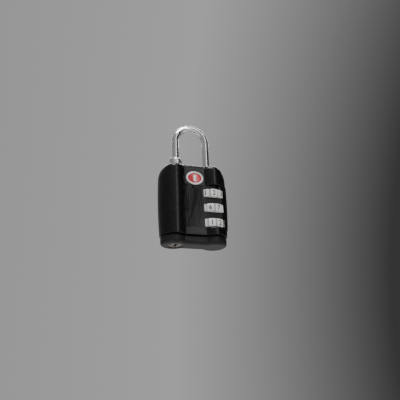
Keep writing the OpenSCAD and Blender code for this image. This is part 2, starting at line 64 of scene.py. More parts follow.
# Brightness of the room from its -X side to its +X side
ROOM_SHADES = ((0.0, 0.42), (0.3, 0.55), (0.62, 0.75), (0.8, 0.08))


def box_mm(node):
    """Lowest and highest corner of a frame node, in millimetres."""
    low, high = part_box(node)
    return low / MM, high / MM


SHELL_LOW, SHELL_HIGH = box_mm("shell")
PLATE_LOW, PLATE_HIGH = box_mm("face_plate")
BADGE_LOW, BADGE_HIGH = box_mm("badge")
COLLAR_LOW, COLLAR_HIGH = box_mm("shackle_collar")
SHACKLE_LOW, SHACKLE_HIGH = box_mm("shackle")
BARREL_LOW, BARREL_HIGH = box_mm("cylinder_barrel")
DIAL_LOW, DIAL_HIGH = box_mm("dial_top")
CLIP_LOW, CLIP_HIGH = box_mm("heel_clip")
LOBE_R = SHELL_HIGH.y
LOBE_X = SHELL_HIGH.x - LOBE_R
PANEL_Y = -PLATE_LOW.y
ROD_R = SHACKLE_HIGH.y
LEG_X = SHACKLE_HIGH.x - ROD_R


# Settings

class BodySettings(bpy.types.PropertyGroup):
    """Sizes of the casting, in millimetres."""
    zone_low: FloatProperty(
        name="Dial zone bottom", description="Height where the flat dial zone starts", default=7.7)
    zone_drop: FloatProperty(
        name="Dial zone top", description="Depth of the zone's end under the top of the body",
        default=10.2)
    zone_corner: FloatProperty(
        name="Zone corner", description="Corner radius of the flat dial zone", default=4.0)
    shoulder_in: FloatProperty(
        name="Shoulder reach", description="How far the shoulders come in at the top", default=4.2)
    shoulder_down: FloatProperty(
        name="Shoulder drop", description="How far down the shoulders start", default=7.0)
    top_round: FloatProperty(
        name="Top edge", description="Rounding of the top edge", default=2.2)
    side_taper: FloatProperty(
        name="Side taper", description="How far each side comes in at the foot", default=0.6)
    lip_round: FloatProperty(
        name="Lip edge", description="Rounding of the lips above and below the dial zone",
        default=0.4)
    foot_round: FloatProperty(
        name="Foot edge", description="Rounding of the edge at the groove", default=0.3)
    skin: FloatProperty(
        name="Paint line", description="Depth of the finished face under the frame's face",
        default=0.03)
    toe_depth: FloatProperty(
        name="Short leg", description="How deep the short leg reaches into the body", default=7.6)
    window_edge: FloatProperty(
        name="Window edge", description="Bevel round the dial windows", default=0.14)


class DialSettings(bpy.types.PropertyGroup):
    """Sizes of the number dials, in millimetres and degrees."""
    face_half: FloatProperty(
        name="Digit face", description="Half the angle of one digit face, in degrees", default=12.5)
    rim_round: FloatProperty(
        name="Rim edge", description="Rounding of a dial's edges", default=0.35)
    groove_depth: FloatProperty(
        name="Grip depth", description="Depth of the grooves between the digit faces", default=0.5)
    bore_r: FloatProperty(name="Bore", description="Radius of a dial's bore", default=4.27)
    keyed_r: FloatProperty(
        name="Key slot", description="Radius of the bore at its key slot", default=4.97)
    digit_height: FloatProperty(name="Digit height", description="Height of a digit", default=2.5)
    digit_width: FloatProperty(
        name="Digit width", description="Width of a digit against its natural width", default=0.95)
    digit_depth: FloatProperty(
        name="Engraving", description="Depth of the engraved digits", default=0.1)
    front_degrees: FloatVectorProperty(
        name="Dial turns", description="Angle of the face nearest the front, for each dial",
        default=(0.0, -18.0, -14.0))


class BadgeSettings(bpy.types.PropertyGroup):
    """Sizes of the badge, in millimetres."""
    rim: FloatProperty(name="Rim width", description="Width of the raised rim", default=0.85)
    rim_round: FloatProperty(name="Rim edge", description="Rounding of the rim", default=0.22)
    field_drop: FloatProperty(
        name="Field depth", description="Depth of the enamel under the rim", default=0.16)
    keyhole_r: FloatProperty(
        name="Keyhole radius", description="Radius of the keyhole mark's head", default=0.82)
    keyhole_h: FloatProperty(
        name="Keyhole height", description="Height of the keyhole mark", default=3.1)


class StageSettings(bpy.types.PropertyGroup):
    """Camera, lights and floor."""
    aim: FloatVectorProperty(
        name="Aim", description="Point that the camera looks at", subtype="TRANSLATION",
        default=(0.00195, -0.00594, 0.02045), precision=5)
    distance: FloatProperty(
        name="Distance", description="From the camera to the aim", unit="LENGTH", default=0.2324)
    azimuth: FloatProperty(
        name="Azimuth", description="Camera's place round the padlock, in degrees", default=-17.5)
    elevation: FloatProperty(
        name="Elevation", description="Camera's height over the horizon, in degrees", default=-22.4)
    roll: FloatProperty(
        name="Roll", description="Turn about the line of sight, in degrees", default=2.47)
    lens: FloatProperty(name="Lens", description="Focal length in millimetres", default=46.06)
    floor_z: FloatProperty(
        name="Floor", description="Height of the floor", unit="LENGTH", default=-0.11)
    sky: IntProperty(name="Sky", description="Brightness of the room, in percent", default=52)


# Mesh helpers, all in millimetres

def node_mesh(node):
    """A merged copy of one frame node."""
    bm = bmesh.new()
    bm.from_mesh(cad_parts[node].data)
    bmesh.ops.scale(bm, vec=(1 / MM,) * 3, verts=bm.verts)
    bmesh.ops.remove_doubles(bm, verts=bm.verts, dist=0.001)
    return bm


def grow(bm, loop, points):
    """Extrudes a closed loop of vertices on to the next ring of points."""
    edges = [bm.edges.get(pair) for pair in zip(loop, loop[1:] + loop[:1])]
    made = bmesh.ops.extrude_edge_only(bm, edges=edges)["geom"]
    fresh = {item for item in made if isinstance(item, bmesh.types.BMVert)}
    following = []
    for vert, point in zip(loop, points):
        partner = next(e.other_vert(vert) for e in vert.link_edges if e.other_vert(vert) in fresh)
        partner.co = point
        following.append(partner)
    return following


def first_loop(bm, points):
    """Starts a wall with a closed loop of edges."""
    loop = [bm.verts.new(point) for point in points]
    for pair in zip(loop, loop[1:] + loop[:1]):
        bm.edges.new(pair)
    return loop


def loft(rings, closed=False):
    """A skin over rings with the same number of points: its ends capped, or joined to each other."""
    bm = bmesh.new()
    start = loop = first_loop(bm, rings[0])
    for points in rings[1:]:
        loop = grow(bm, loop, points)
    if closed:
        start_edges = [bm.edges.get(pair) for pair in zip(start, start[1:] + start[:1])]
        end_edges = [bm.edges.get(pair) for pair in zip(loop, loop[1:] + loop[:1])]
        bmesh.ops.bridge_loops(bm, edges=start_edges + end_edges)
    else:
        bmesh.ops.contextual_create(bm, geom=start)
        bmesh.ops.contextual_create(bm, geom=loop)
    bmesh.ops.recalc_face_normals(bm, faces=bm.faces)
    return bm


def turned(profile, centre, steps=96):
    """A closed profile of (radius, height) spun round an upright axis."""
    bm = bmesh.new()
    verts = [bm.verts.new((centre.x + r, centre.y, z)) for r, z in profile]
    edges = [bm.edges.new(pair) for pair in zip(verts, verts[1:] + verts[:1])]
    bmesh.ops.spin(bm, geom=verts + edges, cent=(centre.x, centre.y, 0), axis=(0, 0, 1),
                   angle=math.tau, steps=steps, use_merge=True)
    bmesh.ops.remove_doubles(bm, verts=bm.verts, dist=0.001)
    bmesh.ops.recalc_face_normals(bm, faces=bm.faces)
    return bm


def ring_points(centre, across, up, r, count=64):
    """Points of a circle in the plane of two directions."""
    return [centre + across * r * math.cos(a) + up * r * math.sin(a)
            for a in (math.tau * i / count for i in range(count))]


def combine(work, tool, operation, materials=()):
    """Boolean of two bmeshes. Both are used up, and the result is a new one."""
    pair = []
    for bm in (work, tool):
        mesh = bpy.data.meshes.new("work")
        bm.to_mesh(mesh)
        bm.free()
        for material in materials:
            mesh.materials.append(material)
        pair.append(bpy.data.objects.new("work", mesh))
        bpy.context.collection.objects.link(pair[-1])
    body, cutter = pair
    step = body.modifiers.new("combine", "BOOLEAN")
    step.object, step.operation, step.solver = cutter, operation, "EXACT"
    made = body.evaluated_get(bpy.context.evaluated_depsgraph_get()).to_mesh()
    result = bmesh.new()
    result.from_mesh(made)
    for obj in pair:
        bpy.data.objects.remove(obj)
    if not result.faces:
        raise RuntimeError("a combined shape came out empty")
    return result


def soften(bm, edges, width, segments=2):
    """Bevels edges with a rounded profile."""
    bmesh.ops.bevel(bm, geom=edges, offset=width, offset_type="OFFSET", affect="EDGES",
                    segments=segments, profile=0.5, material=-1, clamp_overlap=True)


def sharp_edges(bm, degrees, test=lambda point: True):
    """Edges that turn by more than an angle, where both ends pass a test."""
    limit = math.radians(degrees)
    return [e for e in bm.edges if len(e.link_faces) == 2 and e.calc_face_angle(0.0) > limit
            and all(test(v.co) for v in e.verts)]


def flatten_faces(bm, degrees=0.3):
    """Joins the triangles of each flat face."""
    bmesh.ops.dissolve_limit(bm, angle_limit=math.radians(degrees), use_dissolve_boundaries=False,
                             verts=bm.verts, edges=bm.edges, delimit={"MATERIAL"})


def place(bm, name, body, materials, stands_for=(), crease=32):
    """Makes a finished piece of a bmesh, riding on a body."""
    bmesh.ops.scale(bm, vec=(MM,) * 3, verts=bm.verts)
    mesh = bpy.data.meshes.new(name)
    bm.to_mesh(mesh)
    bm.free()
    for material in materials:
        mesh.materials.append(material)
    mesh.shade_smooth()
    mesh.set_sharp_from_angle(angle=math.radians(crease))
    for face in mesh.polygons:
        square_on = max(abs(part) for part in face.normal) > 0.9999
        face.use_smooth = not (square_on and face.area > FLAT_AREA * MM * MM)
    piece = bpy.data.objects.new(name, mesh)
    bpy.context.collection.objects.link(piece)
    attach(piece, body)
    if stands_for:
        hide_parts(*stands_for)
    return piece


# Finishes

class Finish:
    """A node material on Object coordinates, built up a step at a time."""

    def __init__(self, name, colour, roughness, metallic=0.0, coat=0.0, specular=0.5):
        self.material = bpy.data.materials.new(name)
        self.material.use_nodes = True
        self.nodes = self.material.node_tree.nodes
        self.links = self.material.node_tree.links
        self.shader = self.nodes["Principled BSDF"]
        inputs = self.shader.inputs
        inputs["Base Color"].default_value = (*colour, 1)
        inputs["Roughness"].default_value = roughness
        inputs["Metallic"].default_value = metallic
        inputs["Coat Weight"].default_value = coat
        inputs["Coat Roughness"].default_value = 0.08
        inputs["Specular IOR Level"].default_value = specular
        self.place = self.nodes.new("ShaderNodeTexCoord").outputs["Object"]
        self.normal = None

    def spot(self, scale, centre=(0, 0, 0)):
        """Object coordinates about a centre in metres, scaled along each axis."""
        mapping = self.nodes.new("ShaderNodeMapping")
        mapping.inputs["Scale"].default_value = scale
        mapping.inputs["Location"].default_value = [-c * s for c, s in zip(centre, scale)]
        self.links.new(self.place, mapping.inputs["Vector"])
        return mapping.outputs["Vector"]

    def noise(self, per_mm, detail=3.0, stretch=(1, 1, 1)):
        """Noise with a number of cells to the millimetre."""
        node = self.nodes.new("ShaderNodeTexNoise")
        node.inputs["Scale"].default_value = per_mm / MM
        node.inputs["Detail"].default_value = detail
        self.links.new(self.spot(stretch), node.inputs["Vector"])
        return node.outputs["Fac"]

    def rings(self, centre, per_mm):
        """Turning marks: fine rings about an upright axis."""
        node = self.nodes.new("ShaderNodeTexWave")
        node.wave_type, node.rings_direction = "RINGS", "Z"
        node.inputs["Scale"].default_value = per_mm
        node.inputs["Distortion"].default_value = 1.5
        self.links.new(self.spot((1 / MM,) * 3, centre), node.inputs["Vector"])
        return node.outputs["Fac"]

    def bands(self, per_mm):
        """Turning marks on an upright wall: fine rings one above the other."""
        node = self.nodes.new("ShaderNodeTexWave")
        node.wave_type, node.bands_direction = "BANDS", "Z"
        node.inputs["Scale"].default_value = per_mm
        node.inputs["Distortion"].default_value = 1.0
        self.links.new(self.spot((1 / MM,) * 3), node.inputs["Vector"])
        return node.outputs["Fac"]

    def ramp(self, value, low, high, at=(0.35, 0.65)):
        """Two colours blended by a value."""
        node = self.nodes.new("ShaderNodeValToRGB")
        for stop, colour, where in zip(node.color_ramp.elements, (low, high), at):
            stop.color, stop.position = (*colour, 1), where
        self.links.new(value, node.inputs["Fac"])
        return node.outputs["Color"]

    def tint(self, value, low, high, at=(0.35, 0.65)):
        """Colours the surface by a value."""
        self.links.new(self.ramp(value, low, high, at), self.shader.inputs["Base Color"])
        return self

    def polish(self, value, low, high, at=(0.3, 0.7)):
        """Varies the roughness by a value."""
        node = self.nodes.new("ShaderNodeMapRange")
        for socket, number in zip(("From Min", "From Max", "To Min", "To Max"), (*at, low, high)):
            node.inputs[socket].default_value = number
        self.links.new(value, node.inputs["Value"])
        self.links.new(node.outputs["Result"], self.shader.inputs["Roughness"])
        return self

    def bump(self, value, height_mm, strength=1.0):
        """Adds a relief of a height in millimetres."""
        node = self.nodes.new("ShaderNodeBump")
        node.inputs["Strength"].default_value = strength
        node.inputs["Distance"].default_value = height_mm * MM
        self.links.new(value, node.inputs["Height"])
        if self.normal:
            self.links.new(self.normal, node.inputs["Normal"])
        self.normal = node.outputs["Normal"]
        self.links.new(self.normal, self.shader.inputs["Normal"])
        return self


def gloss_black():
    """Enamel on the casting, with a faint orange peel and a little dust."""
    made = Finish("black_gloss_enamel", (0.004, 0.0042, 0.0045), 0.24, specular=0.34)
    made.tint(made.noise(0.9, 6), (0.0025, 0.0027, 0.003), (0.009, 0.0095, 0.0105), (0.4, 0.8))
    made.polish(made.noise(0.35, 5), 0.22, 0.28)
    made.bump(made.noise(0.5, 2), 0.01, 0.2)
    return made.bump(made.noise(14, 2), 0.001, 0.1).material


def satin_black():
    """Satin enamel with a fine grain and soft wear."""
    made = Finish("black_satin_enamel", (0.014, 0.0143, 0.015), 0.42, specular=0.3)
    made.tint(made.noise(0.5, 6), (0.011, 0.0113, 0.012), (0.019, 0.0195, 0.0205), (0.35, 0.75))
    made.polish(made.noise(2.5, 6), 0.34, 0.5)
    return made.bump(made.noise(9, 4), 0.006, 0.35).material


def chrome():
    """Polished plate with hairline scratches along the rod."""
    made = Finish("shackle_chrome", (0.88, 0.885, 0.89), 0.08, metallic=1.0)
    made.tint(made.noise(0.25, 4), (0.82, 0.83, 0.84), (0.9, 0.9, 0.905))
    made.polish(made.noise(5, 4, (1, 1, 0.12)), 0.05, 0.13)
    made.bump(made.noise(0.25, 2), 0.02, 0.25)
    return made.bump(made.noise(12, 2, (1, 1, 0.05)), 0.002, 0.2).material


def collar_silver():
    """Satin nickel with turning marks."""
    made = Finish("collar_satin_nickel", (0.74, 0.74, 0.73), 0.28, metallic=1.0)
    made.tint(made.noise(0.7, 5), (0.62, 0.62, 0.61), (0.8, 0.8, 0.79))
    made.polish(made.noise(3, 4, (0.3, 0.3, 1)), 0.22, 0.4)
    return made.bump(made.bands(4.5), 0.006, 0.4).material


def dial_white():
    """Moulded plastic. The grey in its hollows comes from the groove finish: grime and painted shade."""
    made = Finish("dial_white_plastic", (0.8, 0.8, 0.78), 0.34)
    made.tint(made.noise(0.8, 5), (0.82, 0.82, 0.805), (0.9, 0.9, 0.885), (0.3, 0.6))
    made.polish(made.noise(3, 4), 0.28, 0.42)
    return made.bump(made.noise(6, 3), 0.004, 0.3).material


def digit_black():
    """Paint in the engraved digits."""
    made = Finish("digit_black_fill", (0.015, 0.015, 0.016), 0.5)
    made.tint(made.noise(2, 4), (0.010, 0.010, 0.011), (0.035, 0.035, 0.036))
    return made.polish(made.noise(6, 3), 0.4, 0.6).material


def groove_grey():
    """Grime and painted shade in the grip grooves of the dials: a darker grey that partly stands in for the
    shade in the grooves.
    """
    made = Finish("dial_groove_grime_and_painted_shade", (0.16, 0.16, 0.155), 0.6)
    made.tint(made.noise(3, 4), (0.08, 0.08, 0.078), (0.24, 0.24, 0.235))
    return made.bump(made.noise(8, 3), 0.004, 0.3).material


def badge_white():
    """White enamel of the badge's rim and keyhole."""
    made = Finish("badge_white_enamel", (0.82, 0.82, 0.8), 0.22, coat=0.4)
    made.tint(made.noise(1.1, 4), (0.72, 0.72, 0.7), (0.84, 0.84, 0.83))
    return made.bump(made.noise(3, 3), 0.004, 0.3).material


def badge_red():
    """Red enamel that pools a little darker."""
    made = Finish("badge_red_enamel", (0.6, 0.02, 0.04), 0.2, coat=0.5)
    made.tint(made.noise(0.8, 5), (0.42, 0.012, 0.028), (0.66, 0.028, 0.05))
    return made.bump(made.noise(2.2, 3), 0.006, 0.3).material


def cylinder_nickel(centre):
    """Dull nickel on the key cylinder, faced on a lathe."""
    made = Finish("cylinder_dull_nickel", (0.2, 0.185, 0.17), 0.42, metallic=1.0)
    made.tint(made.noise(1.4, 6), (0.15, 0.135, 0.125), (0.28, 0.25, 0.235))
    made.polish(made.noise(3, 5), 0.3, 0.5)
    return made.bump(made.rings(centre, 4.5), 0.006, 0.4).material


def machined_brass():
    """Machined brass with fine tool marks."""
    made = Finish("machined_brass", (0.72, 0.5, 0.2), 0.3, metallic=1.0)
    made.tint(made.noise(0.9, 4), (0.6, 0.4, 0.15), (0.76, 0.55, 0.24))
    return made.bump(made.bands(6), 0.004, 0.4).material


def spring_steel():
    """Drawn wire and stamped strip, a little blued."""
    made = Finish("spring_steel", (0.5, 0.5, 0.51), 0.25, metallic=1.0)
    made.tint(made.noise(1.5, 4), (0.4, 0.4, 0.42), (0.58, 0.58, 0.58))
    return made.bump(made.noise(10, 2, (1, 1, 0.2)), 0.003, 0.4).material


def plain_zinc():
    """Bare zinc casting, dull and slightly pitted."""
    made = Finish("plain_zinc", (0.5, 0.51, 0.52), 0.45, metallic=1.0)
    made.tint(made.noise(0.8, 6), (0.4, 0.41, 0.42), (0.56, 0.57, 0.58))
    made.polish(made.noise(2, 4), 0.38, 0.55)
    return made.bump(made.noise(5, 5), 0.01, 0.5).material


def pale_floor():
    """Matt paint with a faint grain."""
    made = Finish("pale_floor", (0.66, 0.66, 0.65), 0.7)
    made.tint(made.noise(0.02, 4), (0.64, 0.64, 0.63), (0.68, 0.68, 0.67))
    return made.bump(made.noise(0.5, 3), 0.05, 0.2).material


def finish_of(name, build):
    """The named finish, made once."""
    return bpy.data.materials.get(name) or build()


def coat_node(node, material):
    """Gives a frame node its finish."""
    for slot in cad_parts[node].material_slots:
        slot.link = "OBJECT"
        slot.material = material


# Shapes of the casting

def body_width(z, body):
    """Half the width of the body at a height."""
    middle = (SHELL_LOW.z + SHELL_HIGH.z) / 2
    reach = (z - middle) / (middle - SHELL_LOW.z)
    width = SHELL_HIGH.x - body.side_taper * reach * reach
    shoulder_z = SHELL_HIGH.z - body.shoulder_down
    if z > shoulder_z:
        drop = min(1.0, (z - shoulder_z) / body.shoulder_down)
        width -= body.shoulder_in * (1 - math.sqrt(1 - drop * drop))
    return width


def body_ring(z, zone, inset, body, per_lobe=44, per_flat=6):
    """Plan of the body at a height. zone blends the right lobe's front into the flat dial zone."""
    r, flat_y = LOBE_R - inset, PANEL_Y - inset
    valley = math.asin(PANEL_Y / LOBE_R)
    sweep = math.pi - valley
    corner = Vector((SHELL_HIGH.x - body.zone_corner, body.zone_corner - PANEL_Y))
    corner_r = body.zone_corner - inset
    straight = -corner.y
    bend = math.pi / 2 * body.zone_corner
    run = corner.x - (LOBE_X - LOBE_R * math.cos(valley))
    points = []
    for i in range(per_lobe + 1):
        u = i / per_lobe
        a = -sweep * u
        lobe = Vector((LOBE_X + r * math.cos(a), r * math.sin(a)))
        along = u * (straight + bend + run)
        if along < straight:
            flat = Vector((corner.x + corner_r, -along))
        elif along < straight + bend:
            turn = (along - straight) / body.zone_corner
            flat = corner + corner_r * Vector((math.cos(turn), -math.sin(turn)))
        else:
            flat = Vector((corner.x - (along - straight - bend), -flat_y))
        points.append(lobe.lerp(flat, zone))
    front_end = points[-1]
    left_start = Vector((-LOBE_X + r * math.cos(valley), -r * math.sin(valley)))
    points += [front_end.lerp(left_start, i / per_flat) for i in range(1, per_flat)]
    for i in range(2 * per_lobe + 1):
        a = -valley - 2 * sweep * i / (2 * per_lobe)
        points.append(Vector((-LOBE_X + r * math.cos(a), r * math.sin(a))))
    back_left, back_right = points[-1], Vector((LOBE_X - r * math.cos(valley), r * math.sin(valley)))
    points += [back_left.lerp(back_right, i / per_flat) for i in range(1, per_flat)]
    for i in range(per_lobe):
        a = sweep * (1 - i / per_lobe)
        points.append(Vector((LOBE_X + r * math.cos(a), r * math.sin(a))))
    squeeze = (body_width(z, body) - LOBE_X) / LOBE_R
    ring = []
    for x, y in points:
        beyond = max(0.0, abs(x) - LOBE_X)
        ring.append(Vector((math.copysign(abs(x) - beyond + beyond * squeeze, x), y, z)))
    return ring


def steps_between(low, high, step):
    """Heights from low to high at about one spacing, without the first."""
    count = max(1, round((high - low) / step))
    return [low + (high - low) * i / count for i in range(1, count + 1)]


def edge_rows(r, outer_z, way):
    """(height, inset) down the rounding of an edge that ends at outer_z. way is 1 for a top edge."""
    return [(outer_z - way * r * (1 - math.sin(a)), r * (1 - math.cos(a)))
            for a in (math.pi / 2 * i / 6 for i in range(7))]


def casting_rows(body):
    """(height, zone, inset) of each ring of the casting, from its foot to its top."""
    low, high = SHELL_LOW.z + body.skin, SHELL_HIGH.z - body.skin
    lip_low = body.zone_low - 2 * body.skin
    lip_high = SHELL_HIGH.z - body.zone_drop + 2 * body.skin
    lip = [(body.lip_round * (1 - math.sin(a)), 0.24 * (1 - math.cos(a)))
           for a in (math.pi / 2 * i / 5 for i in range(6))]
    rows = [(z, 0.0, inset) for z, inset in reversed(edge_rows(body.foot_round, low, -1))]
    rows += [(z, 0.0, 0.0) for z in steps_between(rows[-1][0], lip_low - body.lip_round, 0.7)[:-1]]
    rows += [(lip_low - down, blend, 0.0) for down, blend in lip]
    rows += [(lip_low, 1.0, 0.0)]
    rows += [(z, 1.0, 0.0) for z in steps_between(lip_low, lip_high, 1.0)]
    rows += [(lip_high + down, blend, 0.0) for down, blend in reversed(lip)]
    top_edge = edge_rows(body.top_round - body.skin, high, 1)
    rows += [(z, 0.0, 0.0) for z in steps_between(rows[-1][0], top_edge[0][0], 0.45)[:-1]]
    return rows + [(z, 0.0, inset) for z, inset in top_edge]


def plate_rows(body):
    """(height, zone, inset) of each ring round the face plate."""
    low, high = SHELL_LOW.z + body.skin, SHELL_HIGH.z - body.skin
    top_edge = edge_rows(body.top_round - body.skin, high, 1)
    heights = [low] + steps_between(low, top_edge[0][0], 1.0)[:-1]
    return [(z, 1.0, 0.0) for z in heights] + [(z, 1.0, inset) for z, inset in top_edge]


def body_solid(rows, body):
    """The outside of the body as one closed solid."""
    return loft([body_ring(z, zone, inset + body.skin, body) for z, zone, inset in rows])


def dial_ring(r, z, middle, turn, dial):
    """Outline of a dial: flat digit faces with two grip ridges between each pair."""
    half = math.radians(dial.face_half)
    pitch = math.tau / DIGITS
    gap = pitch - 2 * half
    outline = []
    for k in range(DIGITS):
        a = math.radians(turn - 90) + k * pitch
        for b in (-half, -half / 2, 0.0, half / 2, half):
            flat = r * math.cos(half) / math.cos(b)
            outline.append((a + b, (r + flat) / 2))
        for m in range(1, 12):
            wave = 0.5 - 0.5 * math.cos(math.pi * m / 2)
            depth = dial.groove_depth * (1 - 0.62 * wave) if m % 2 == 0 else dial.groove_depth * 0.6
            outline.append((a + half + gap * m / 12, r - depth))
    return [Vector((middle.x + q * math.cos(a), middle.y + q * math.sin(a), z)) for a, q in outline]


def bore_ring(z, middle, turn, dial):
    """Bore of a dial with its key slot, point for point with the outline."""
    points = []
    for point in dial_ring(1.0, z, Vector((0, 0)), turn, dial):
        a = math.atan2(point.y, point.x)
        r = dial.keyed_r if abs(a) < math.radians(9.5) else dial.bore_r
        points.append(Vector((middle.x + r * math.cos(a), middle.y + r * math.sin(a), z)))
    return points


def digit_cutter(number, height, width, thickness):
    """A solid digit, upright in the XZ plane and facing -Y."""
    text = bpy.data.curves.new("digit", "FONT")
    text.body = str(number)
    text.size, text.extrude, text.resolution_u, text.offset = 1.0, 0.5, 3, 0.025
    text.align_x, text.align_y = "CENTER", "CENTER"
    holder = bpy.data.objects.new("digit", text)
    bpy.context.collection.objects.link(holder)
    mesh = holder.evaluated_get(bpy.context.evaluated_depsgraph_get()).to_mesh()
    bm = bmesh.new()
    bm.from_mesh(mesh)
    bpy.data.objects.remove(holder)
    bmesh.ops.remove_doubles(bm, verts=bm.verts, dist=0.0001)
    tall = max(v.co.y for v in bm.verts) - min(v.co.y for v in bm.verts)
    mid = (max(v.co.y for v in bm.verts) + min(v.co.y for v in bm.verts)) / 2
    across = (max(v.co.x for v in bm.verts) + min(v.co.x for v in bm.verts)) / 2
    bmesh.ops.translate(bm, vec=(-across, -mid, 0), verts=bm.verts)
    size = height / tall
    bmesh.ops.scale(bm, vec=(size * width, size, thickness), verts=bm.verts)
    bmesh.ops.rotate(bm, cent=(0, 0, 0), matrix=Matrix.Rotation(math.pi / 2, 3, "X"), verts=bm.verts)
    return bm


def oval_ring(r_x, r_z, y, middle, count=96):
    """An upright oval facing -Y."""
    return [Vector((middle.x + r_x * math.cos(a), y, middle.z + r_z * math.sin(a)))
            for a in (math.tau * i / count for i in range(count))]


def join_into(target, source):
    """Adds one bmesh to another."""
    mesh = bpy.data.meshes.new("join")
    source.to_mesh(mesh)
    source.free()
    target.from_mesh(mesh)
    bpy.data.meshes.remove(mesh)


# Pieces

class PADLOCK_OT_casting(bpy.types.Operator):
    """Casts the shell, its face plate and the bottom cap"""
    bl_idname = "padlock.casting"
    bl_label = "Casting"

    def execute(self, context):
        body = context.scene.padlock_body
        gloss, satin = finish_of("black_gloss_enamel", gloss_black), finish_of(
            "black_satin_enamel", satin_black)
        shell = combine(body_solid(casting_rows(body), body), node_mesh("shell"), "INTERSECT")
        place(shell, "enamelled_shell", "case", [gloss], ["shell"])

        plate = combine(body_solid(plate_rows(body), body), node_mesh("face_plate"), "INTERSECT")
        bmesh.ops.remove_doubles(plate, verts=plate.verts, dist=0.002)
        flatten_faces(plate)
        front = body.skin * 1.5 - PANEL_Y
        soften(plate, sharp_edges(plate, 50, lambda p: p.y < front), body.window_edge)
        place(plate, "dial_panel", "case", [satin], ["face_plate"])

        cap = node_mesh("bottom_cap")
        flatten_faces(cap)
        place(cap, "base_cap", "case", [satin], ["bottom_cap"], crease=40)
        coat_node("cap_pins", gloss)
        return {"FINISHED"}


class PADLOCK_OT_shackle(bpy.types.Operator):
    """Bends the shackle and turns the collar at its long leg"""
    bl_idname = "padlock.shackle"
    bl_label = "Shackle and collar"

    def execute(self, context):
        bright = finish_of("shackle_chrome", chrome)
        tip, arch_z = 0.5, SHACKLE_HIGH.z - ROD_R - LEG_X
        toe_z = SHELL_HIGH.z - context.scene.padlock_body.toe_depth
        groove_z = (CLIP_LOW.z + CLIP_HIGH.z) / 2
        side, out, up = Vector((1, 0, 0)), Vector((0, 1, 0)), Vector((0, 0, 1))
        rings = []
        for z, r in ((SHACKLE_LOW.z, ROD_R - tip), (SHACKLE_LOW.z + tip, ROD_R),
                     (groove_z - 0.375, ROD_R), (groove_z - 0.375, ROD_R - 0.5),
                     (groove_z + 0.375, ROD_R - 0.5), (groove_z + 0.375, ROD_R),
                     (groove_z + 1, ROD_R), (arch_z, ROD_R)):
            rings.append(ring_points(Vector((-LEG_X, 0, z)), side, out, r))
        for i in range(1, 49):
            a = math.pi * i / 48
            away = -side * math.cos(a) + up * math.sin(a)
            rings.append(ring_points(Vector((0, 0, arch_z)) + away * LEG_X, -away, out, ROD_R))
        for z, r in ((toe_z + 1, ROD_R), (toe_z + tip, ROD_R), (toe_z, ROD_R - tip)):
            rings.append(ring_points(Vector((LEG_X, 0, z)), -side, out, r))
        rod = loft(rings)
        notch = bmesh.new()
        bmesh.ops.create_cube(notch, size=1)
        bmesh.ops.scale(notch, vec=(2.3, 4 * ROD_R, 2.6), verts=notch.verts)
        bmesh.ops.translate(notch, vec=(LEG_X - ROD_R + 0.15, 0, toe_z + 2.7), verts=notch.verts)
        rod = combine(rod, notch, "DIFFERENCE")
        place(rod, "shackle_rod", "shackle", [bright], ["shackle"])

        middle = (COLLAR_LOW + COLLAR_HIGH) / 2
        bore, r = ROD_R + 0.08, (COLLAR_HIGH.x - COLLAR_LOW.x) / 2
        low, top, seat = COLLAR_LOW.z, COLLAR_HIGH.z, SHELL_HIGH.z
        profile = [(bore, low), (r - 0.5, low), (r - 0.5, seat - 0.02), (r - 0.15, seat - 0.02),
                   (r, seat + 0.13)]
        shoulder = 1.25
        for i in range(13):
            a = math.radians(82) * i / 12
            profile.append((r - shoulder + shoulder * math.cos(a), top - shoulder + shoulder * math.sin(a)))
        profile += [(bore + 0.1, top), (bore, top - 0.1)]
        collar = turned(profile, middle)
        place(collar, "leg_collar", "case",
              [finish_of("collar_satin_nickel", collar_silver)], ["shackle_collar"])
        return {"FINISHED"}


